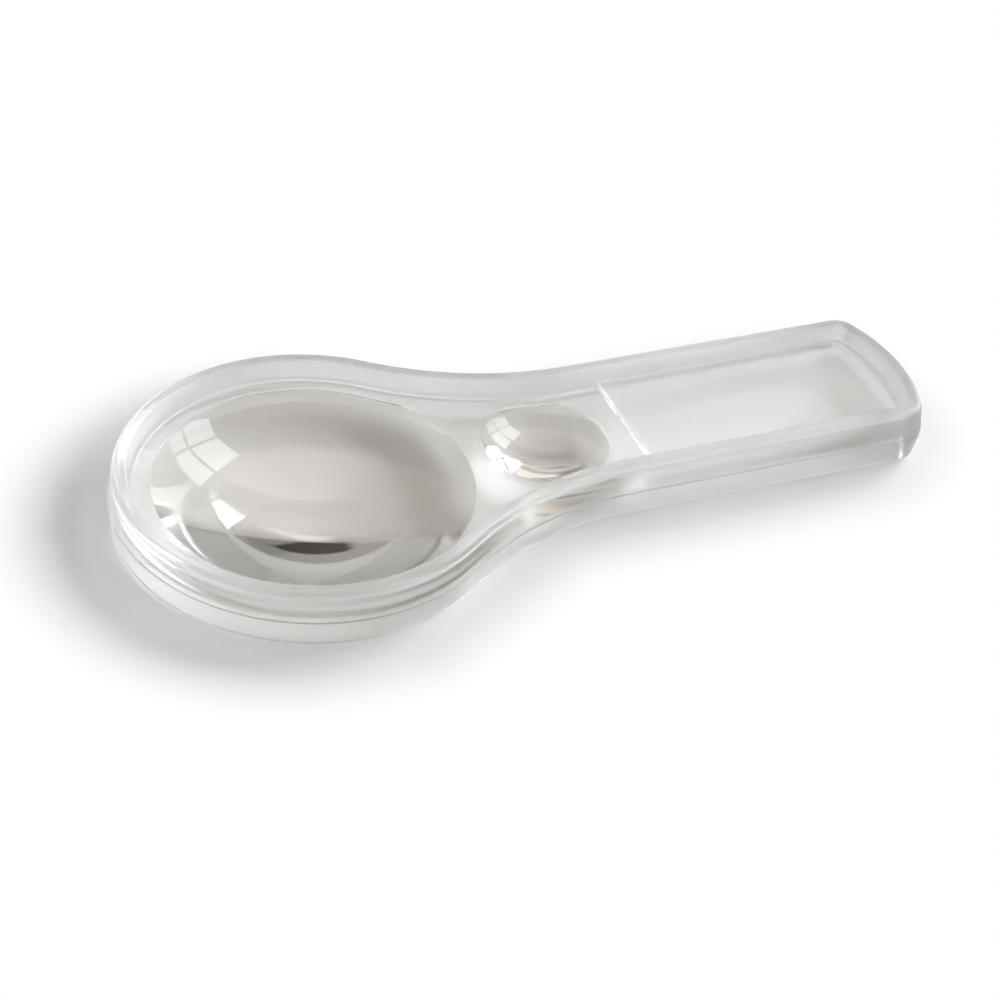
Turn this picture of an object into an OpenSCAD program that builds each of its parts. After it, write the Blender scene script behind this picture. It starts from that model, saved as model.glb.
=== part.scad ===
// Clear hand magnifier for low vision: a round main lens in the head, a small strong lens in the
// neck and a flat handle.
//
// Two matching half frames are welded face to face at mid height. Each is a narrow web with a
// raised rim that leans in from the seam, so that the rim keeps both lenses off the table on
// either side. The lenses have bevelled edges, like spectacle lenses, and the bevels lie in the
// groove that the chamfered windows of the two halves make. A clear plate lies in the handle.
//
// Sizes are in millimetres. X runs from the head to the end of the handle and Z is up. The origin
// is the middle of the outline, on the table.

/* [Outline] */
// Length over all, at the seam
length = 135.8; // [125:0.2:160]
// Diameter of the head, at the seam
head_d = 61.6; // [60:0.2:68]
// Width of the handle, at the seam
handle_w = 29.6; // [24:0.2:36]
// Radius of the hollow curves between the head and the handle
neck_r = 52; // [35:1:60]
// Radius of the bowed end of the handle
end_r = 31; // [22:0.5:60]
// Radius of the two corners at the end of the handle
corner_r = 4.4; // [4.2:0.1:9]

/* [Rim and web] */
// Height over all, both half frames together
frame_h = 10; // [9.6:0.1:14]
// How far the outer wall of the rim leans in between the seam and the lip
rim_lean = 0.75; // [0.2:0.05:1.2]
// Width of the lip, before its edges are rounded
lip_w = 2.1; // [1.6:0.05:2.6]
// Thickness of the rim at the foot of its inner wall
rim_t = 3.7; // [3.4:0.05:4]
// Radius of the lip's outer edge
lip_outer_r = 0.8; // [0.2:0.05:1]
// Radius of the lip's inner edge
lip_inner_r = 0.5; // [0.2:0.05:0.7]
// Thickness of the web, both halves together
web_t = 2.9; // [2.4:0.1:3.4]
// Depth of the fine bevel along the seam's outer edge
seam_bevel = 0.12; // [0.05:0.01:0.3]

/* [Lenses] */
// Diameter of the main lens
main_d = 50; // [40:0.2:51]
// Radius of each curved face of the main lens
main_face_r = 100; // [96:1:300]
// How far the main lens sits from the centre of the head towards the handle
main_shift = 0.8; // [0:0.1:1]
// Diameter of the spot lens
spot_d = 20.6; // [14:0.2:21]
// Radius of each curved face of the spot lens
spot_face_r = 42; // [30:1:120]
// Distance between the centres of the two lenses
lens_pitch = 38.9; // [38.5:0.1:41]
// Height of the bevel round the edge of a lens
edge_bevel = 0.6; // [0.3:0.05:1]
// Cement gap between a lens and its window
lens_gap = 0.05; // [0.02:0.01:0.1]

/* [Handle plate] */
// Thickness of the plate
plate_t = 1.25; // [0.8:0.05:2.4]
// Distance between the edge of the spot lens and the plate
plate_start = 3.7; // [2.5:0.1:10]
// Gap between the plate and the foot of the inner wall
plate_gap = 0.1; // [0.05:0.05:0.3]

/* [Hidden] */
$fn = 96;

frame_colour = [0.86, 0.90, 0.91, 0.55];
lens_colour = [0.80, 0.87, 0.90, 0.55];
plate_colour = [0.90, 0.92, 0.92, 0.55];

// A small overlap that keeps a cut from ending on a face
over = 0.5;

// Heights
seam_z = frame_h / 2;
web_top = seam_z + web_t / 2;

// The head and the hollow neck, tangent to each other and to the sides of the handle
head_r = head_d / 2;
half_w = handle_w / 2;
head_x = head_r - length / 2;
neck_y = half_w + neck_r;
neck_x = head_x + sqrt(pow(head_r + neck_r, 2) - pow(neck_y, 2));
neck_turn = atan2(neck_y, neck_x - head_x);

// The bowed end and its corners, whose radius leaves room for the rim and the plate inside it
corner = max(corner_r, rim_t + plate_gap + 0.2);
end_x = length / 2 - end_r;
corner_y = half_w - corner;
corner_x = end_x + sqrt(pow(end_r - corner, 2) - pow(corner_y, 2));
end_turn = atan2(corner_y, corner_x - end_x);

// The lenses and the plate along the handle
main_x = head_x + main_shift;
spot_x = main_x + lens_pitch;
plate_x = spot_x + spot_d / 2 + plate_start;

// Stations along the outline's +Y half, from the head to the end: each is a point and the
// direction outwards
function station(centre, r, a, side) = [centre + r * [cos(a), sin(a)], side * [cos(a), sin(a)]];
function arc_stations(centre, r, from, to, steps, side = 1) =
    [for (i = [0:steps]) station(centre, r, from + (to - from) * i / steps, side)];
half_path = concat(
    arc_stations([head_x, 0], head_r, 180, neck_turn, 36),
    [for (i = [1:12]) station([neck_x, neck_y], neck_r,
        180 + neck_turn + (90 - neck_turn) * i / 12, -1)],
    arc_stations([corner_x, corner_y], corner, 90, end_turn, 9),
    [for (i = [1:6]) station([end_x, 0], end_r, end_turn * (1 - i / 6), 1)]
);
half_count = len(half_path);
path = concat(
    half_path,
    [for (i = [half_count - 2:-1:1]) [for (v = half_path[i]) [v.x, -v.y]]]
);

// The rounded corner b of the path a, b, c as points along its arc
function toward(a, b) = (b - a) / norm(b - a);
function half_angle(a, b, c) = acos(toward(b, a) * toward(b, c)) / 2;
function rounded(a, b, c, r, steps) =
    let (half = half_angle(a, b, c),
         centre = b + r / sin(half) * toward([0, 0], toward(b, a) + toward(b, c)),
         start = b + r / tan(half) * toward(b, a) - centre,
         turn = 2 * half - 180,
         first = atan2(start.y, start.x))
    [for (i = [0:steps]) centre + r * [cos(first + turn * i / steps), sin(first + turn * i / steps)]];

// Section of one half of the rim: the distance inside the outline and the height over the seam,
// from the seam up the outer wall, over the lip and down the inner wall to the web
seam_edge = [0, 0];
lip_out = [rim_lean, frame_h / 2];
lip_in = [rim_lean + lip_w, frame_h / 2];
foot = [rim_t, web_t / 2];
section = concat(
    [[seam_bevel, 0], seam_bevel * toward(seam_edge, lip_out)],
    rounded(seam_edge, lip_out, lip_in, lip_outer_r, 5),
    rounded(lip_out, lip_in, foot, lip_inner_r, 4),
    [foot]
);

// One half frame before its windows are cut, standing on the seam at z = 0: the section swept
// round the outline, closed by the flat seam below and the flat web above
module frame_body() {
    stations = len(path);
    rows = len(section);
    points = [for (s = path) for (p = section)
        [s[0].x - p.x * s[1].x, s[0].y - p.x * s[1].y, p.y]];
    walls = [for (i = [0:stations - 1]) for (j = [0:rows - 2])
        let (here = i * rows + j, next = (i + 1) % stations * rows + j)
        [here, here + 1, next + 1, next]];
    // A flat cap joins each station to the one across the handle
    function cap(row, i) =
        [for (k = [i, i + 1, stations - i - 1, (stations - i) % stations]) k * rows + row];
    function trimmed(f) = [for (k = [0:3]) if (f[k] != f[(k + 1) % 4]) f[k]];
    function turned(f) = [for (k = [len(f) - 1:-1:0]) f[k]];
    seam = [for (i = [0:half_count - 2]) turned(trimmed(cap(0, i)))];
    web = [for (i = [0:half_count - 2]) trimmed(cap(rows - 1, i))];
    polyhedron(points, [for (f = concat(walls, seam, web)) turned(f)]);
}

// Cuts a lens window through one half of the web, chamfered at the seam for the lens's bevel
module window(x, d) {
    r = d / 2 + lens_gap;
    translate([x, 0, -over]) cylinder(h = web_t / 2 + 2 * over, r = r);
    translate([x, 0, -over])
        cylinder(h = edge_bevel + over, r1 = r + edge_bevel + over, r2 = r);
}

// One half frame, standing on the seam at z = 0. Turned over, it is the other half.
module half_frame() {
    difference() {
        frame_body();
        window(main_x, main_d);
        window(spot_x, spot_d);
    }
}

// A lens with two equal curved faces that rise from the faces of the web, centred on the seam
module lens(d, face_r) {
    r = d / 2;
    drop = sqrt(pow(face_r, 2) - pow(r, 2)) - web_t / 2;
    rotate_extrude() {
        intersection() {
            translate([0, -drop]) circle(r = face_r, $fn = 720);
            translate([0, drop]) circle(r = face_r, $fn = 720);
            translate([0, -face_r]) square([r, 2 * face_r]);
        }
        polygon([[r - over, -edge_bevel - over], [r + edge_bevel, 0],
                 [r - over, edge_bevel + over]]);
    }
}

// Plan of the handle plate, a distance of inset inside the outline
module plate_plan(inset) {
    reach = end_r / cos(end_turn);
    translate([plate_x, inset - half_w]) square([corner_x - plate_x, handle_w - 2 * inset]);
    for (side = [-1, 1])
        translate([corner_x, side * corner_y]) circle(r = corner - inset);
    intersection() {
        translate([end_x, 0]) circle(r = end_r - inset);
        translate([end_x, 0]) polygon([
            [0, 0],
            reach * [cos(end_turn), -sin(end_turn)],
            reach * [cos(end_turn), sin(end_turn)]
        ]);
        translate([plate_x, -half_w]) square([length, handle_w]);
    }
}

module lower_frame()
    color(frame_colour) translate([0, 0, seam_z]) rotate([180, 0, 0]) half_frame();

module upper_frame()
    color(frame_colour) translate([0, 0, seam_z]) half_frame();

module main_lens()
    color(lens_colour) translate([main_x, 0, seam_z]) lens(main_d, main_face_r);

module spot_lens()
    color(lens_colour) translate([spot_x, 0, seam_z]) lens(spot_d, spot_face_r);

module handle_plate()
    color(plate_colour) translate([0, 0, web_top]) linear_extrude(plate_t)
        plate_plan(rim_t + plate_gap);

lower_frame();
upper_frame();
main_lens();
spot_lens();
handle_plate();
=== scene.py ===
# %% [markdown]
# A clear hand magnifier for low vision. Two half frames of moulded acrylic are welded at mid height and hold
# a large lens in the head, a small strong lens in the neck and a thin plate in the handle.
# Clear plastic has almost no colour of its own: what the eye reads is how each face bends and mirrors what is
# around it. So this lesson is mostly about true faces, about how smooth each of them is, and about joints
# that vanish where two clear pieces are bonded.

# %% Load the frame
import math

import bmesh
import bpy
import numpy as np
from mathutils import Matrix, Vector


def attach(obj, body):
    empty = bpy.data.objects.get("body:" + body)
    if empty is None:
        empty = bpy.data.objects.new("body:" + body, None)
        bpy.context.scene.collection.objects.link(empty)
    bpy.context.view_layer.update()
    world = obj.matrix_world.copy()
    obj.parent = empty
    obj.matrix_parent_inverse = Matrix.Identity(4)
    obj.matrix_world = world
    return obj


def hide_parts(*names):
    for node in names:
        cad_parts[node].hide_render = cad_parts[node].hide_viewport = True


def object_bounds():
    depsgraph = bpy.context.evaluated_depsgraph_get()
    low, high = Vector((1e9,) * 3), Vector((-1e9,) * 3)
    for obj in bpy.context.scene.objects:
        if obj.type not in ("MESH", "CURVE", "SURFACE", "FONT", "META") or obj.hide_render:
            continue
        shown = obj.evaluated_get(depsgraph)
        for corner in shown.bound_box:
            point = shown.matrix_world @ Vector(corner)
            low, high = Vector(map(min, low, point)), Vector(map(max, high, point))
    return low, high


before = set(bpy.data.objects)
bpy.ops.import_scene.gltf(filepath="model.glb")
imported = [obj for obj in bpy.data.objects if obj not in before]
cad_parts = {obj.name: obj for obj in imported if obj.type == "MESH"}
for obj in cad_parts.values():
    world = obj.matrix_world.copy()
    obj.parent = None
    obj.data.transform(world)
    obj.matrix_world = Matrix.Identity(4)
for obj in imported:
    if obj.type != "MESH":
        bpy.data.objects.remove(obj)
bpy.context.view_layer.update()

MM = 0.001
scene = bpy.context.scene
scene.view_settings.view_transform = "Standard"
print("frame nodes:", sorted(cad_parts))

# %% [markdown]
# The camera comes first, because a clear object changes its whole look with the angle. It stands to the left
# of the head, looks down at about 38 degrees and is tilted a little, as a hand-held camera is. Its place is
# written as an angle, a height and a distance from a point on the table, which is easier to read and to turn
# than three coordinates.

# %% Camera
CAMERA_AZIMUTH = math.radians(-26.22)
CAMERA_ELEVATION = math.radians(38.26)
CAMERA_ROLL = math.radians(6.12)
CAMERA_DISTANCE = 387.7 * MM
CAMERA_TARGET = Vector((-6.57, -4.70, 0)) * MM
LENS_LENGTH_MM = 88.0
SENSOR_MM = 36.0
NEAR_CLIP = 10 * MM


def direction(azimuth, elevation):
    """A unit vector at an azimuth from -Y towards +X and an elevation above the table."""
    flat = math.cos(elevation)
    return Vector((math.sin(azimuth) * flat, -math.cos(azimuth) * flat, math.sin(elevation)))


def add_camera():
    back = direction(CAMERA_AZIMUTH, CAMERA_ELEVATION)
    level = Vector((0, 0, 1)).cross(back).normalized()
    above = back.cross(level)
    right = level * math.cos(CAMERA_ROLL) + above * math.sin(CAMERA_ROLL)
    up = above * math.cos(CAMERA_ROLL) - level * math.sin(CAMERA_ROLL)
    data = bpy.data.cameras.new("camera")
    data.lens = LENS_LENGTH_MM
    data.sensor_width = SENSOR_MM
    data.clip_start = NEAR_CLIP
    camera = bpy.data.objects.new("camera", data)
    scene.collection.objects.link(camera)
    turn = Matrix((right, up, back)).transposed().to_4x4()
    camera.matrix_world = Matrix.Translation(CAMERA_TARGET + back * CAMERA_DISTANCE) @ turn
    scene.camera = camera
    return camera


camera = add_camera()
print("camera at", [round(c / MM, 1) for c in camera.location], "mm")

# %% [markdown]
# The outline is a chain of tangent arcs, as a mould maker would draw it: the round head, a hollow neck,
# straight sides, two small corners and a bowed end. A Bezier curve could follow it by eye, but arcs keep the
# head truly round about its lens. Each station along the chain is a point and the direction outwards, so a
# rim section can be swept round it by stepping inwards from every station. The length and the height come
# from the frame. The stations are close together, because a bright edge in clear plastic shows every facet.

# %% Outline of the frame
LOW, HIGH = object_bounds()
LENGTH = (HIGH[0] - LOW[0]) / MM
SEAM = (HIGH[2] - LOW[2]) / MM / 2
HEAD_R = 30.79
NECK_R = 52.0
HALF_W = 14.8
END_R = 31.0
CORNER_R = 4.4
HEAD_STEPS, NECK_STEPS, CORNER_STEPS, END_STEPS = 240, 96, 24, 40

head_x = LOW[0] / MM + HEAD_R
neck_y = HALF_W + NECK_R
neck_x = head_x + math.sqrt((HEAD_R + NECK_R) ** 2 - neck_y**2)
neck_turn = math.atan2(neck_y, neck_x - head_x)
end_x = HIGH[0] / MM - END_R
corner_y = HALF_W - CORNER_R
corner_x = end_x + math.sqrt((END_R - CORNER_R) ** 2 - corner_y**2)
end_turn = math.atan2(corner_y, corner_x - end_x)


def arc(centre, radius, start, stop, steps, outward=1):
    """Stations along an arc: x, y and the outward direction, in rows."""
    a = np.linspace(start, stop, steps + 1)
    ray = np.c_[np.cos(a), np.sin(a)]
    return np.hstack([np.array(centre) + radius * ray, outward * ray])


def outline():
    """All stations, round the head first along +Y, then back along -Y."""
    side = np.vstack([
        arc((head_x, 0), HEAD_R, math.pi, neck_turn, HEAD_STEPS),
        arc((neck_x, neck_y), NECK_R, math.pi + neck_turn, 1.5 * math.pi, NECK_STEPS, -1)[1:],
        arc((corner_x, corner_y), CORNER_R, math.pi / 2, end_turn, CORNER_STEPS),
        arc((end_x, 0), END_R, end_turn, 0, END_STEPS)[1:],
    ])
    mirrored = side[-2:0:-1] * [1, -1, 1, -1]
    return np.vstack([side, mirrored])


stations = outline()
print(len(stations), "stations round an outline", round(LENGTH, 1), "mm long")

# %% [markdown]
# Every mesh here is a set of rings joined by strips of quads: the rim is a section swept round the outline,
# and a lens is a profile spun round its axis. Modifiers such as Screw or Bevel could make some of this, but
# rings let each strip take its own finish, and that is what tells a wall from a lip in clear plastic.
# Strips are shaded smooth. Flat faces with holes are filled between rings and stay flat shaded, because a
# smooth normal that leans on a flat pane would bend the view like a wedge of glass.

# %% Ring builder
SHARP_DEGREES = 28


class Rings:
    """Collects rings of points in millimetres, the strips between them and flat fills, as one mesh."""

    def __init__(self):
        self.bm = bmesh.new()

    def ring(self, points):
        return [self.bm.verts.new(Vector(p) * MM) for p in points]

    def strip(self, a, b, slot):
        for i in range(len(a)):
            j = (i + 1) % len(a)
            face = self.bm.faces.new((a[i], a[j], b[j], b[i]))
            face.material_index, face.smooth = slot, True

    def fan(self, a, point):
        tip = self.bm.verts.new(Vector(point) * MM)
        for i in range(len(a)):
            self.bm.faces.new((a[i], a[(i + 1) % len(a)], tip)).smooth = True

    def fill(self, loops, slot):
        edges = []
        for loop in loops:
            for i in range(len(loop)):
                pair = (loop[i], loop[(i + 1) % len(loop)])
                edges.append(self.bm.edges.get(pair) or self.bm.edges.new(pair))
        made = bmesh.ops.triangle_fill(self.bm, use_beauty=True, edges=edges)["geom"]
        for face in made:
            if isinstance(face, bmesh.types.BMFace):
                face.material_index = slot

    def finish(self, name, materials):
        bmesh.ops.recalc_face_normals(self.bm, faces=self.bm.faces)
        mesh = bpy.data.meshes.new(name)
        self.bm.to_mesh(mesh)
        self.bm.free()
        mesh.set_sharp_from_angle(angle=math.radians(SHARP_DEGREES))
        piece = bpy.data.objects.new(name, mesh)
        scene.collection.objects.link(piece)
        for material in materials:
            mesh.materials.append(material)
        print(name, len(mesh.polygons), "faces")
        return piece


print("edges over", SHARP_DEGREES, "degrees stay sharp")

# %% [markdown]
# Corners of a moulding are never sharp, and in clear plastic each rounding is a small lens that draws a line
# of light. The rim's section is therefore a path of straight lines with every corner rounded to a radius.
# A Bevel modifier could round the finished mesh, but on the section each corner can have its own radius.

# %% Rounded corners
def rounded(a, b, c, radius, steps):
    """Points along the rounded corner b of the path a, b, c."""
    a, b, c = (np.array(p, float) for p in (a, b, c))
    back = (a - b) / np.linalg.norm(a - b)
    on = (c - b) / np.linalg.norm(c - b)
    half = math.acos(np.clip(back @ on, -1, 1)) / 2
    middle = (back + on) / np.linalg.norm(back + on)
    centre = b + radius / math.sin(half) * middle
    start = b + radius / math.tan(half) * back - centre
    side = 1 if back[0] * on[1] - back[1] * on[0] > 0 else -1
    turn = side * (2 * half - math.pi)
    first = math.atan2(start[1], start[0])
    return [tuple(centre + radius * np.array((math.cos(t), math.sin(t))))
            for t in first + turn * np.linspace(0, 1, steps + 1)]


quarter = rounded((0, 0), (1, 0), (1, 1), 0.5, 2)
print("middle of a test corner:", [round(float(c), 3) for c in quarter[1]])

# %% [markdown]
# Colours are written as sRGB hex values, as a colour picker gives them, and turned to the linear numbers that
# Blender's shaders use. One small function adds a node, sets it and links it, so a material below reads as a
# short list of nodes.

# %% Colours and nodes
def linear(hex_colour):
    """An sRGB hex colour as linear RGBA."""
    channels = [int(hex_colour[i:i + 2], 16) / 255 for i in (1, 3, 5)]
    return [c / 12.92 if c <= 0.04045 else ((c + 0.055) / 1.055) ** 2.4 for c in channels] + [1.0]


def node(tree, kind, settings=None, links=None):
    """Adds a node, sets its properties and sockets, and links sockets from other nodes' outputs."""
    made = tree.nodes.new(kind)
    for key, value in (settings or {}).items():
        if isinstance(key, int) or key in made.inputs:
            made.inputs[key].default_value = value
        else:
            setattr(made, key, value)
    for key, source in (links or {}).items():
        tree.links.new(source, made.inputs[key])
    return made


def new_material(name):
    material = bpy.data.materials.new(name)
    material.use_nodes = True
    material.node_tree.nodes.clear()
    return material, material.node_tree


print("mid grey in linear light:", round(linear("#808080")[0], 3))

# %% [markdown]
# Clear acrylic bends light at an index of 1.49 and loses almost none of it, so its tint is close to white.
# What differs from face to face is how smooth the mould, the saw, the hand or the table left it, and the eye
# reads that as lines that are crisp, soft or milky. Each finish could have a node tree of its own, but they
# would be nearly alike, so one recipe makes them all from a tint and two roughness values. Roughness wanders
# between the two in patches some 9 mm wide, as the haze from handling does. A finish may have ripples, such
# as the faint orange peel of a moulding, given by their spacing and height. Real ones are some thousandths of
# a millimetre high, up to a hundredth on a weld, and so are these.
# Faces whose roughness crossed about 0.275 came out with cracks along the rim, and faces wholly above it came
# out clean, so each rough finish starts at 0.278 or more.

# %% Recipe for clear acrylic
ACRYLIC_IOR = 1.49
CLEAR = "#fcfdfd"
HAZE_MM = 9.0
NOISE_LOW, NOISE_HIGH = 0.3, 0.7
GRIP_START, GRIP_FULL = -10.0, 15.0


def clear_acrylic(name, tint, haze, ripple=None, shade_tint=None):
    """Haze is the least and most roughness, ripple a spacing and height in mm, the last a grey painted shade
    for the grip.
    """
    material, tree = new_material(name)
    place = node(tree, "ShaderNodeTexCoord").outputs["Object"]
    patches = node(tree, "ShaderNodeTexNoise", {"Scale": 1 / (HAZE_MM * MM)}, {"Vector": place})
    rough = node(tree, "ShaderNodeMapRange", {
        "From Min": NOISE_LOW, "From Max": NOISE_HIGH, "To Min": haze[0], "To Max": haze[1],
    }, {"Value": patches.outputs[0]})
    links = {"Roughness": rough.outputs[0]}
    if ripple:
        spacing, high = ripple
        waves = node(tree, "ShaderNodeTexNoise", {"Scale": 1 / (spacing * MM), "Detail": 0.0},
                     {"Vector": place})
        skin = node(tree, "ShaderNodeBump", {"Distance": high * MM}, {"Height": waves.outputs[0]})
        links["Normal"] = skin.outputs[0]
    # From GRIP_START to GRIP_FULL along X the base colour turns to the grey: painted shade on the grip's
    # walls.
    if shade_tint:
        along = node(tree, "ShaderNodeSeparateXYZ", links={"Vector": place})
        shade_along_grip = node(tree, "ShaderNodeMapRange", {
            "From Min": GRIP_START * MM, "From Max": GRIP_FULL * MM}, {"Value": along.outputs["X"]})
        shaded_tint = node(tree, "ShaderNodeMix", {
            "data_type": "RGBA", 6: linear(tint), 7: linear(shade_tint)}, {0: shade_along_grip.outputs[0]})
        links["Base Color"] = shaded_tint.outputs[2]
    shader = node(tree, "ShaderNodeBsdfPrincipled", {
        "Base Color": linear(tint), "IOR": ACRYLIC_IOR, "Transmission Weight": 1.0}, links)
    node(tree, "ShaderNodeOutputMaterial", links={"Surface": shader.outputs[0]})
    print(name, "roughness", haze[0], "to", haze[1])
    return material


print("haze in patches of", HAZE_MM, "mm")

# %% [markdown]
# The moulding comes clear from a polished mould, and few hands reach into the tray on its underside, so that
# tray stays glossy. On the lips, the web and the walls the bands of light run softly into one another, so
# these get a fine satin, as handling and wiping leave it. A new part may be glossier, but a full gloss broke
# the bands up into streaks. Along the grip the walls are tinted greyer, and that grey is painted shade.

# %% Moulded acrylic
GLOSS, SATIN = (0.05, 0.09), (0.278, 0.295)
ORANGE_PEEL = (2.5, 0.004)
polished_tray = clear_acrylic("polished_moulded_acrylic", CLEAR, GLOSS)
handled_face = clear_acrylic("handled_moulded_acrylic", CLEAR, SATIN, ORANGE_PEEL)
# The grey #d9dad9 along the grip is painted shade on the walls.
wall_with_painted_shade = clear_acrylic("moulded_acrylic_painted_grip_shade", CLEAR, SATIN, ORANGE_PEEL, shade_tint="#d9dad9")

# %% [markdown]
# The lower lip is scuffed by every table it slid on, so it scatters more of the light. Its grey tint is
# painted
# shade: it darkens the lip and the light through it, as where the rim shades the table at its foot. The weld
# between the two halves is a thin, rough and slightly lumpy bead, which draws the dark line round the rim at
# mid height. The plate was sawn from cast sheet: its face waves a little and is wiped to a satin, while its
# edges keep the marks of the saw and glow white where light leaves them. Real scuffs and saw marks are too
# fine to show, so they are drawn coarser, 1.2 and 0.6 mm apart.

# %% Worn, welded and sawn acrylic
SCUFFS = (1.2, 0.006)
WELD_LUMPS = (1.5, 0.01)
SHEET_WAVES = (12.0, 0.004)
SAW_MARKS = (0.6, 0.006)
# The tint #e6e6e5 is painted shade at the rim's foot. The haze and the scuffs are wear.
worn_lip_painted_shade = clear_acrylic("table_worn_acrylic_painted_shade", "#e6e6e5", haze=(0.30, 0.36), ripple=SCUFFS)
weld_bead = clear_acrylic("solvent_weld_bead", "#b2b1af", haze=(0.29, 0.37), ripple=WELD_LUMPS)
plate_face = clear_acrylic("cast_acrylic_sheet", CLEAR, SATIN, SHEET_WAVES)
sawn_edge = clear_acrylic("sawn_acrylic_edge", CLEAR, haze=(0.30, 0.38), ripple=SAW_MARKS)

# %% [markdown]
# Where two clear pieces are welded or cemented, the joint bends nothing, because both sides and the cement
# have the same index. In Blender each piece is a closed mesh, so the two faces of a joint would bend the
# light twice. Joining the meshes would cure that, but each piece has to stay a piece of its own. A fully
# see-through finish on both faces makes the pair behave as one piece of plastic.

# %% Bonded joint
def bonded_joint():
    material, tree = new_material("solvent_welded_joint")
    shader = node(tree, "ShaderNodeBsdfTransparent")
    node(tree, "ShaderNodeOutputMaterial", links={"Surface": shader.outputs[0]})
    return material


joint = bonded_joint()
print("joint finish:", joint.name)

# %% [markdown]
# A lens is thick, and light that bounces inside it travels far, so a little of it is lost on the way. Volume
# absorption does that: the body stays clear, and only the long paths near the front of the lens go grey.
# A volume needs one material on the whole mesh, or Cycles loses count of being inside. The cemented edge
# is therefore marked by an attribute on its faces, and there the index falls from 1.49 to 1, so that the
# edge bends nothing. Wiping leaves a trace of roughness.

# %% Lens acrylic
LENS_TINT = "#fefcfa"
LOSS_COLOUR, LOSS_DENSITY = "#7c928b", 7.0
WIPE_LOW, WIPE_HIGH, WIPE_ROUGHNESS = 0.4, 0.8, 0.03


def lens_acrylic():
    material, tree = new_material("polished_lens_acrylic")
    place = node(tree, "ShaderNodeTexCoord").outputs["Object"]
    wiped = node(tree, "ShaderNodeTexNoise", {"Scale": 1 / (HAZE_MM * MM)}, {"Vector": place})
    rough = node(tree, "ShaderNodeMapRange", {
        "From Min": WIPE_LOW, "From Max": WIPE_HIGH, "To Max": WIPE_ROUGHNESS}, {"Value": wiped.outputs[0]})
    bonded = node(tree, "ShaderNodeAttribute", {"attribute_name": "bonded"})
    index = node(tree, "ShaderNodeMapRange", {"To Min": ACRYLIC_IOR, "To Max": 1.0},
                 {"Value": bonded.outputs["Fac"]})
    shader = node(tree, "ShaderNodeBsdfPrincipled", {
        "Base Color": linear(LENS_TINT), "IOR": ACRYLIC_IOR, "Transmission Weight": 1.0,
    }, {"Roughness": rough.outputs[0], "IOR": index.outputs[0]})
    bulk = node(tree, "ShaderNodeVolumeAbsorption", {"Color": linear(LOSS_COLOUR), "Density": LOSS_DENSITY})
    node(tree, "ShaderNodeOutputMaterial", links={"Surface": shader.outputs[0], "Volume": bulk.outputs[0]})
    return material


lens_clear = lens_acrylic()
print("lens finish:", lens_clear.name)

# %% [markdown]
# The frame is one moulding used twice, once turned over. Its rim stands on the seam at mid height, leans in
# towards the lip, rolls over it and drops to the web, a thin floor that carries the lenses and the plate.
# All sizes are in millimetres, and heights are counted from the seam.

# %% Section of the rim
RIM_LEAN = 0.75
LIP_W = 2.1
RIM_T = 3.7
LIP_OUTER_R, LIP_OUTER_STEPS = 1.1, 12
LIP_INNER_R, LIP_INNER_STEPS = 0.35, 10
FOOT_R, FOOT_STEPS = 0.3, 8
WEB = 1.45
SEAM_BEVEL = 0.16
TRAY_SLOT, JOINT_SLOT, WALL_SLOT, LIP_SLOT, WELD_SLOT = range(5)


def rim_section(lip_inside):
    """The rim's path as (inset, height) points, and the slot of the finish of each strip between them."""
    seam_edge, lip_out = (0, 0), (RIM_LEAN, SEAM)
    lip_in, foot = (RIM_LEAN + LIP_W, SEAM), (RIM_T, WEB)
    lean = np.array(lip_out) / np.linalg.norm(lip_out)
    weld = [(SEAM_BEVEL, 0), tuple(SEAM_BEVEL * lean)]
    outer = rounded(seam_edge, lip_out, lip_in, LIP_OUTER_R, LIP_OUTER_STEPS)
    inner = rounded(lip_out, lip_in, foot, LIP_INNER_R, LIP_INNER_STEPS)
    fillet = rounded(lip_in, foot, (RIM_T + LIP_W, WEB), FOOT_R, FOOT_STEPS)
    slots = ([WELD_SLOT, WALL_SLOT] + [LIP_SLOT] * len(outer) + [lip_inside] * (len(inner) - 1)
             + [TRAY_SLOT] * len(fillet))
    return weld + outer + inner + fillet, slots


print(len(rim_section(LIP_SLOT)[0]), "points in the rim's section")

# %% [markdown]
# The plate's bed and the lens windows are loops in the web. The windows have a shallow V groove at the seam,
# in which the bevelled edge of the lens is caught when the two halves close. The bed is a joint face, because
# the plate is cemented to it.

# %% Loops in the web
MAIN_R, SPOT_R = 25.0, 10.3
MAIN_SHIFT = 0.8
LENS_PITCH = 38.9
PLATE_START = 3.7
MAIN_X = head_x + MAIN_SHIFT
SPOT_X = MAIN_X + LENS_PITCH
PLATE_X = SPOT_X + SPOT_R + PLATE_START
CIRCLE_STEPS = 160
PLATE_STEPS = 14


def circle(x, radius, z):
    a = np.linspace(0, 2 * math.pi, CIRCLE_STEPS, endpoint=False)
    return np.c_[x + radius * np.cos(a), radius * np.sin(a), np.full(CIRCLE_STEPS, z)]


def plate_outline(inset):
    """The plate's plan, from its front edge round the end of the handle."""
    side = np.vstack([
        [[PLATE_X, HALF_W - inset]],
        arc((corner_x, corner_y), CORNER_R - inset, math.pi / 2, end_turn, PLATE_STEPS)[:, :2],
        arc((end_x, 0), END_R - inset, end_turn, 0, PLATE_STEPS)[1:, :2],
    ])
    return np.vstack([side, side[-2::-1] * [1, -1]])


print(len(plate_outline(RIM_T)), "points round the plate")

# %% [markdown]
# Each half is built the same way: sweep the section, cut the windows, fill the web between them and close the
# half with a joint face at the seam. The halves differ in the finishes of the tray and the lip, and only the
# upper one has the plate's bed, so a Mirror modifier would not do. A boolean could cut the windows, but
# filling between loops gives clean flat faces with no stray slivers.

# %% Half frames
EDGE_BEVEL = 0.6
LENS_GAP = 0.03
PLATE_GAP = 0.1
BED_INSET = 0.3


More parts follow.
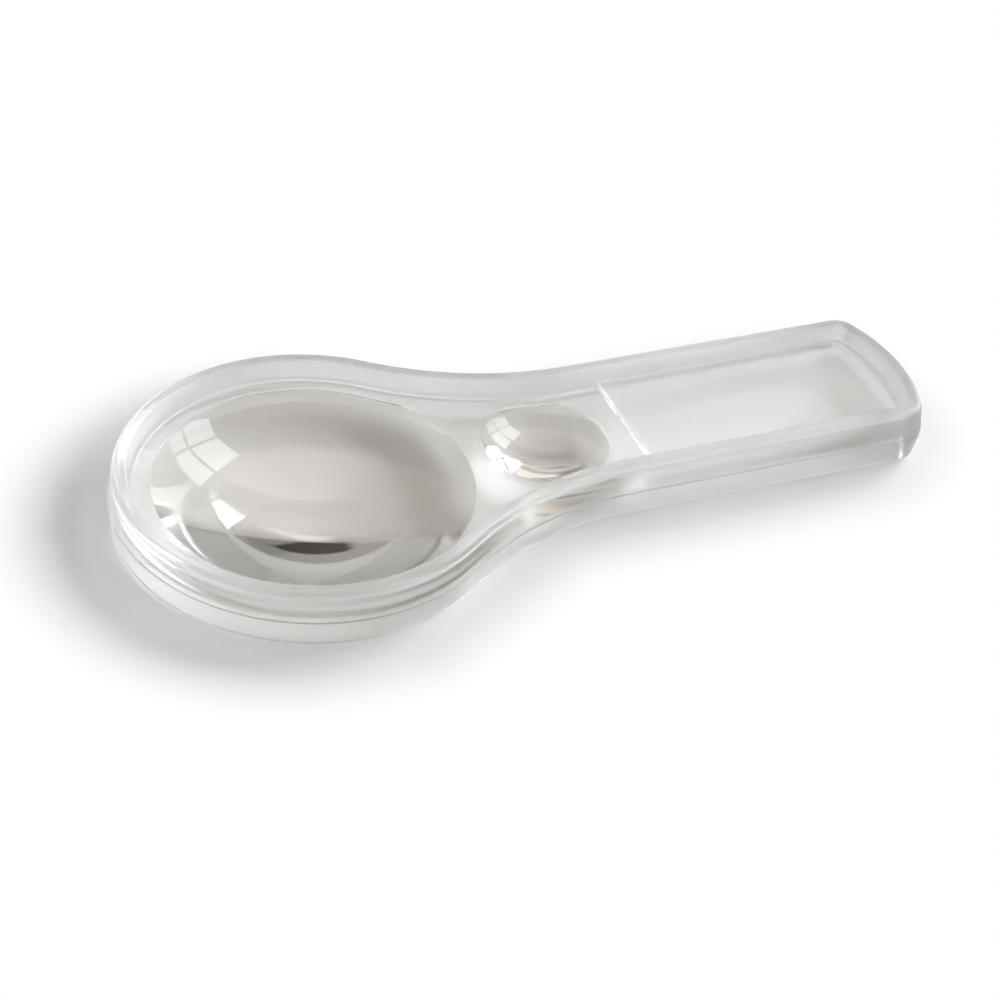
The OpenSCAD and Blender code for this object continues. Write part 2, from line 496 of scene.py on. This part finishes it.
def half_frame(name, up, tray, lip, lip_inside):
    """One half, up = 1 for the upper one and -1 for the lower one, with the finishes of its tray and lip."""
    build = Rings()

    def level(plan, height):
        return np.c_[plan, np.full(len(plan), SEAM + up * height)]

    points, slots = rim_section(lip_inside)
    rows = [build.ring(level(stations[:, :2] - inset * stations[:, 2:], height)) for inset, height in points]
    for a, b, slot in zip(rows, rows[1:], slots):
        build.strip(a, b, slot)
    windows, mouths = [], []
    for x, r in ((MAIN_X, MAIN_R + LENS_GAP), (SPOT_X, SPOT_R + LENS_GAP)):
        top = build.ring(circle(x, r, SEAM + up * WEB))
        groove = build.ring(circle(x, r, SEAM + up * EDGE_BEVEL))
        mouth = build.ring(circle(x, r + EDGE_BEVEL, SEAM))
        build.strip(top, groove, JOINT_SLOT)
        build.strip(groove, mouth, JOINT_SLOT)
        windows.append(top)
        mouths.append(mouth)
    beds = [build.ring(level(plate_outline(RIM_T + PLATE_GAP + BED_INSET), WEB))] if up > 0 else []
    build.fill([rows[-1], *windows, *beds], TRAY_SLOT)
    for bed in beds:
        build.fill([bed], JOINT_SLOT)
    build.fill([rows[0], *mouths], JOINT_SLOT)
    return build.finish(name, [tray, joint, wall_with_painted_shade, lip, weld_bead])


def dress(piece, cad_node):
    """Lets a piece stand for a CAD node, which it hides, and ride on the part."""
    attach(piece, "root")
    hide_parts(cad_node)


upper = half_frame("upper_half_frame", 1, handled_face, handled_face, LIP_SLOT)
lower = half_frame("lower_half_frame", -1, polished_tray, worn_lip_painted_shade, TRAY_SLOT)
dress(upper, "upper_frame")
dress(lower, "lower_frame")

# %% [markdown]
# A lens is a profile spun round its axis: two faces that are caps of large balls, and a bevelled edge. Both
# lenses are biconvex and as thick at the edge as the web. A squashed ball would be quicker to make, but its
# curve would be wrong where it matters. The rings crowd towards the rim of the face, where the view bends
# most, and the edge faces carry the mark that the lens material looks for.

# %% Lenses
MAIN_FACE_R, SPOT_FACE_R = 100.0, 42.0
FACE_RINGS = 40
FACE_MARK, EDGE_MARK = range(2)


def lens(name, x, radius, face_r):
    build = Rings()
    drop = math.sqrt(face_r**2 - radius**2) - WEB
    radii = radius * np.sin(np.linspace(0, math.pi / 2, FACE_RINGS))[1:]
    rims = []
    for up in (1, -1):
        heights = up * (np.sqrt(face_r**2 - radii**2) - drop)
        rings = [build.ring(circle(x, r, SEAM + z)) for r, z in zip(radii, heights)]
        build.fan(rings[0], (x, 0, SEAM + up * (face_r - drop)))
        for a, b in zip(rings, rings[1:]):
            build.strip(a, b, FACE_MARK)
        rims.append(rings[-1])
    bevel = [build.ring(circle(x, r, SEAM + z)) for r, z in (
        (radius, EDGE_BEVEL), (radius + EDGE_BEVEL, 0), (radius, -EDGE_BEVEL))]
    chain = [rims[0], *bevel, rims[1]]
    for a, b in zip(chain, chain[1:]):
        build.strip(a, b, EDGE_MARK)
    piece = build.finish(name, [lens_clear])
    marks = [float(face.material_index) for face in piece.data.polygons]
    bonded = piece.data.attributes.new("bonded", "FLOAT", "FACE")
    bonded.data.foreach_set("value", marks)
    piece.data.polygons.foreach_set("material_index", [0] * len(marks))
    print(name, int(sum(marks)), "bonded edge faces")
    return piece


dress(lens("main_lens_disc", MAIN_X, MAIN_R, MAIN_FACE_R), "main_lens")
dress(lens("spot_lens_disc", SPOT_X, SPOT_R, SPOT_FACE_R), "spot_lens")

# %% [markdown]
# The plate fills the tray of the handle. It is a flat sheet with a sawn edge: a small chamfer at the foot
# clears the fillet of the rim, and the top edge is eased, as a deburring scraper leaves it. A scaled cube
# would give neither the bowed end nor these edges, so the plate is built from rings like the rest.
# The straight front edge catches the window and shows as a white line across the handle.

# %% Handle plate
PLATE_T = 1.25
EASED_EDGE = 0.2
EASED_MIDDLE = 0.06
FOOT_CHAMFER = 0.3
SHEET_SLOT, BED_SLOT, SAWN_SLOT = range(3)


def handle_plate():
    build = Rings()
    steps = ((FOOT_CHAMFER, 0), (0, FOOT_CHAMFER), (0, PLATE_T - EASED_EDGE),
             (EASED_MIDDLE, PLATE_T - EASED_MIDDLE), (EASED_EDGE, PLATE_T))
    rows = []
    for inset, height in steps:
        plan = plate_outline(RIM_T + PLATE_GAP + inset)
        plan[[0, -1], 0] += inset
        rows.append(build.ring(np.c_[plan, np.full(len(plan), SEAM + WEB + height)]))
    for a, b in zip(rows, rows[1:]):
        build.strip(a, b, SAWN_SLOT)
    build.fill([rows[0]], BED_SLOT)
    build.fill([rows[-1]], SHEET_SLOT)
    return build.finish("handle_plate_sheet", [plate_face, joint, sawn_edge])


dress(handle_plate(), "handle_plate")

# %% [markdown]
# The table is a plain pale sheet. The clear part lies on it with a film of air between, or its foot would
# melt into the table. The photograph fades to white round the part, so the table does too, but only for the
# camera and by the distance from the part: near the part it keeps the real shadow, which leans away from the
# window, and glass sees white only far out. The distance is that from a line along the part, less half the
# part's width there.

# %% Table
AIR_FILM = 0.05 * MM
TABLE_HALF = 3000 * MM
SHADOW_SHIFT = Vector((-4.5, 0.5, 0)) * MM
SPINE_END = 55.0
TAPER_START, TAPER_END = -25.0, 5.0
CAMERA_FADE = (1.0, 15.0)
GLASS_FADE = (120.0, 300.0)
PAPER_WHITE = "#f5f6f6"


def distance_from_part(tree):
    """Nodes for the distance of a table point from the part's outline, and their output."""
    place = node(tree, "ShaderNodeNewGeometry").outputs["Position"]
    moved = node(tree, "ShaderNodeVectorMath", {"operation": "SUBTRACT", 1: SHADOW_SHIFT}, {0: place})
    at = node(tree, "ShaderNodeSeparateXYZ", links={"Vector": moved.outputs[0]})
    spine = node(tree, "ShaderNodeClamp", {"Min": head_x * MM, "Max": SPINE_END * MM},
                 {"Value": at.outputs["X"]})
    beyond = node(tree, "ShaderNodeMath", {"operation": "SUBTRACT"},
                  {0: at.outputs["X"], 1: spine.outputs[0]})
    off = node(tree, "ShaderNodeCombineXYZ", links={"X": beyond.outputs[0], "Y": at.outputs["Y"]})
    span = node(tree, "ShaderNodeVectorMath", {"operation": "LENGTH"}, {0: off.outputs[0]})
    half = node(tree, "ShaderNodeMapRange", {
        "From Min": TAPER_START * MM, "From Max": TAPER_END * MM,
        "To Min": HEAD_R * MM, "To Max": HALF_W * MM,
    }, {"Value": at.outputs["X"]})
    return node(tree, "ShaderNodeMath", {"operation": "SUBTRACT"},
                {0: span.outputs["Value"], 1: half.outputs[0]})


def table_material():
    material, tree = new_material("matt_white_table")
    gap = distance_from_part(tree).outputs[0]
    seen = node(tree, "ShaderNodeLightPath")
    glass = node(tree, "ShaderNodeMath", {"operation": "MAXIMUM"}, {
        0: seen.outputs["Is Glossy Ray"], 1: seen.outputs["Is Transmission Ray"]})
    fades = []
    for (start, stop), eye in ((CAMERA_FADE, seen.outputs["Is Camera Ray"]), (GLASS_FADE, glass.outputs[0])):
        fade = node(tree, "ShaderNodeMapRange", {
            "interpolation_type": "SMOOTHSTEP", "From Min": start * MM, "From Max": stop * MM,
        }, {"Value": gap})
        fades.append(node(tree, "ShaderNodeMath", {"operation": "MULTIPLY"}, {0: fade.outputs[0], 1: eye}))
    amount = node(tree, "ShaderNodeMath", {"operation": "MAXIMUM"},
                  {i: fade.outputs[0] for i, fade in enumerate(fades)})
    paper = node(tree, "ShaderNodeBsdfDiffuse", {"Color": linear(PAPER_WHITE)})
    white = node(tree, "ShaderNodeEmission")
    shader = node(tree, "ShaderNodeMixShader", links={
        0: amount.outputs[0], 1: paper.outputs[0], 2: white.outputs[0]})
    node(tree, "ShaderNodeOutputMaterial", links={"Surface": shader.outputs[0]})
    return material


def add_table():
    corners = [(x * TABLE_HALF, y * TABLE_HALF, -AIR_FILM) for x, y in ((-1, -1), (1, -1), (1, 1), (-1, 1))]
    mesh = bpy.data.meshes.new("table")
    mesh.from_pydata(corners, [], [(0, 1, 2, 3)])
    mesh.materials.append(table_material())
    table = bpy.data.objects.new("table", mesh)
    scene.collection.objects.link(table)
    return table


table = add_table()
print("table top at", round(table.data.vertices[0].co.z / MM, 2), "mm")

# %% [markdown]
# The main light is a window on the right, seen in both lenses as a bright patch with a cross of glazing bars.
# Four upright panes of light with gaps between them make that patch: one big lamp would light the part as
# well, but would leave the mirror image without its bars. A second, softer window stands in front, on the
# right. Each pane is given by the angles at which the main lens sees it and by its brightness, so the size
# and the power of its lamp follow.

# %% Windows
WINDOW_DISTANCE = 1000 * MM
DAYLIGHT = "#eff5fa"
SOFT_DAYLIGHT = "#f6f8fa"
NEAR_SIDE, FAR_SIDE, FRONT_SIDE = (-8, 11), (13, 32), (-60, -20)
LOWER_PANES, UPPER_PANES, FRONT_PANE = (8, 33), (35, 50), (26, 52)
LOWER_RADIANCE, UPPER_RADIANCE, FRONT_RADIANCE = 6.0, 7.2, 3.3


def window_pane(name, azimuths, elevations, radiance, tint):
    """An upright pane of light between two azimuths from +X and two elevations, in degrees."""
    middle, half = (math.radians((azimuths[1] + sign * azimuths[0]) / 2) for sign in (1, -1))
    low, high = (WINDOW_DISTANCE * math.tan(math.radians(e)) for e in elevations)
    data = bpy.data.lights.new(name, "AREA")
    data.shape = "RECTANGLE"
    data.size = 2 * WINDOW_DISTANCE * math.tan(half)
    data.size_y = high - low
    data.energy = radiance * math.pi * data.size * data.size_y
    data.color = linear(tint)[:3]
    out = Vector((math.cos(middle), math.sin(middle), 0))
    lamp = bpy.data.objects.new(name, data)
    lamp.location = out * WINDOW_DISTANCE + Vector((MAIN_X * MM, 0, (low + high) / 2))
    lamp.rotation_euler = out.to_track_quat("Z", "Y").to_euler()
    scene.collection.objects.link(lamp)
    print(name, round(data.energy, 1), "W")


for side, azimuths in (("near", NEAR_SIDE), ("far", FAR_SIDE)):
    window_pane("lower_pane_" + side, azimuths, LOWER_PANES, LOWER_RADIANCE, DAYLIGHT)
    window_pane("upper_pane_" + side, azimuths, UPPER_PANES, UPPER_RADIANCE, DAYLIGHT)
window_pane("front_window", FRONT_SIDE, FRONT_PANE, FRONT_RADIANCE, SOFT_DAYLIGHT)

# %% [markdown]
# The rest of the room is the world: pale walls that darken towards the ceiling. Photographers of glass place
# cards round it. A white card behind lifts the plate and the web. A black card behind the head shows in the
# main lens as the dark crescent, where light can no longer leave the lower face. Two grey cards calm the
# left of the rim and the wall of the handle. They could be planes in the scene, but those would stand in the
# way of a camera on the other side. In the world all of them are plain multipliers of the brightness, set by
# direction: azimuths are counted from +X, and all angles are in degrees.

# %% Room and cards
world = bpy.data.worlds.new("studio")
scene.world = world
world.use_nodes = True
world.node_tree.nodes.clear()
room = world.node_tree
view = node(room, "ShaderNodeTexCoord").outputs["Generated"]
height = node(room, "ShaderNodeSeparateXYZ", links={"Vector": view}).outputs["Z"]


def sine(degrees):
    return math.sin(math.radians(degrees))


def sky_way(azimuth, elevation):
    return direction(math.radians(90 + azimuth), math.radians(elevation))


def round_card(azimuth, elevation, full, none, level):
    """Level within full degrees of a direction, 1 from none degrees on."""
    way = sky_way(azimuth, elevation)
    along = node(room, "ShaderNodeVectorMath", {"operation": "DOT_PRODUCT", 1: way}, {0: view})
    return node(room, "ShaderNodeMapRange", {
        "interpolation_type": "SMOOTHSTEP", "From Min": math.cos(math.radians(none)),
        "From Max": math.cos(math.radians(full)), "To Min": 1.0, "To Max": level,
    }, {"Value": along.outputs["Value"]})


def rise(low, high):
    """0 below one elevation and 1 above the other, which may be the lower one."""
    return node(room, "ShaderNodeMapRange", {"From Min": sine(low), "From Max": sine(high)},
                {"Value": height})


def cut(first, second, soft):
    """0 on one side of the line between two directions and 1 on the other, from soft degrees on."""
    plane = sky_way(*first).cross(sky_way(*second)).normalized()
    off = node(room, "ShaderNodeVectorMath", {"operation": "DOT_PRODUCT", 1: plane}, {0: view})
    return node(room, "ShaderNodeMapRange", {"From Max": sine(soft)}, {"Value": off.outputs["Value"]})


def stacked(layers):
    """Cards one before another: all their levels multiplied."""
    level = layers[0]
    for layer in layers[1:]:
        level = node(room, "ShaderNodeMath", {"operation": "MULTIPLY"},
                     {0: level.outputs[0], 1: layer.outputs[0]})
    return level


print("room angles counted from +X; the window is at", sky_way(10, 20).to_tuple(2))

# %% [markdown]
# Now the cards themselves. A round card is an azimuth, an elevation, the angle within which it is full, the
# angle where it ends, and its level. The white card has its foot at 31 degrees, above what the handle's side
# shows, so that side stays quiet. The black card is cut on all four sides, and its foot at 20 degrees draws
# the lower edge of the crescent.

# %% Cards
WHITE_CARD, WHITE_CARD_FOOT = (56, 44, 12, 25, 3.7), (30.5, 33.5)
BLACK_CARD_FOOT, BLACK_CARD_TOP, BLACK_CARD_LEVEL = (19.3, 20.6), (32, 30), 0.06
BLACK_CARD_RIGHT, BLACK_CARD_LEFT = ((62, 31), (50, 20), 2), ((90, 10), (90, 40), 5)
GREY_CARD_LEFT, GREY_CARD_WALL = (190, 25, 45, 80, 0.82), (50, 22, 7, 13, 0.65)

white_card = node(room, "ShaderNodeMix", {2: 1.0}, {
    0: rise(*WHITE_CARD_FOOT).outputs[0], 3: round_card(*WHITE_CARD).outputs[0]})
shape = stacked([rise(*BLACK_CARD_FOOT), rise(*BLACK_CARD_TOP),
                 cut(*BLACK_CARD_RIGHT), cut(*BLACK_CARD_LEFT)])
black_card = node(room, "ShaderNodeMapRange", {"To Min": 1.0, "To Max": BLACK_CARD_LEVEL},
                  {"Value": shape.outputs[0]})
cards = stacked([white_card, black_card, round_card(*GREY_CARD_LEFT), round_card(*GREY_CARD_WALL)])
print("white card", WHITE_CARD[-1], "and black card", BLACK_CARD_LEVEL, "times the walls")

# %% [markdown]
# The walls are a colour ramp over the height of the view, from a warm pale grey low down to a darker ceiling.
# An image of a real studio would be richer, but a ramp of three colours is easier to tune. The camera sees
# plain white beyond the table, and so does the glass along the horizon.

# %% Walls and background
WALL_STOPS = ((0.30, "#aaa5a0"), (0.42, "#b3b0ac"), (0.85, "#847a73"))
HORIZON = (7, 2)

walls = node(room, "ShaderNodeValToRGB", links={"Fac": height})
stops = walls.color_ramp.elements
stops.new(WALL_STOPS[-1][0])
for stop, (position, colour) in zip(stops, WALL_STOPS):
    stop.position, stop.color = position, linear(colour)
lit = node(room, "ShaderNodeBackground", links={"Color": walls.outputs[0], "Strength": cards.outputs[0]})
white = node(room, "ShaderNodeBackground", {"Color": linear("#ffffff")})
seen = node(room, "ShaderNodeLightPath")
glass = node(room, "ShaderNodeMath", {"operation": "MAXIMUM"}, {
    0: seen.outputs["Is Glossy Ray"], 1: seen.outputs["Is Transmission Ray"]})
horizon = stacked([glass, rise(*HORIZON)])
pale = node(room, "ShaderNodeMath", {"operation": "MAXIMUM"}, {
    0: seen.outputs["Is Camera Ray"], 1: horizon.outputs[0]})
backdrop = node(room, "ShaderNodeMixShader", links={
    0: pale.outputs[0], 1: lit.outputs[0], 2: white.outputs[0]})
node(room, "ShaderNodeOutputWorld", links={"Surface": backdrop.outputs[0]})
print(len(room.nodes), "nodes in the room")

# %% [markdown]
# Light runs many times to and fro inside a rim or a lens before it leaves. With too few bounces the rims turn
# black, so the limits go up, and the filter that blurs sharp paths is off.

# %% Light paths
BOUNCES = 64
for limit in ("max_bounces", "glossy_bounces", "transmission_bounces", "transparent_max_bounces"):
    setattr(scene.cycles, limit, BOUNCES)
scene.cycles.blur_glossy = 0.0
print("up to", BOUNCES, "bounces")
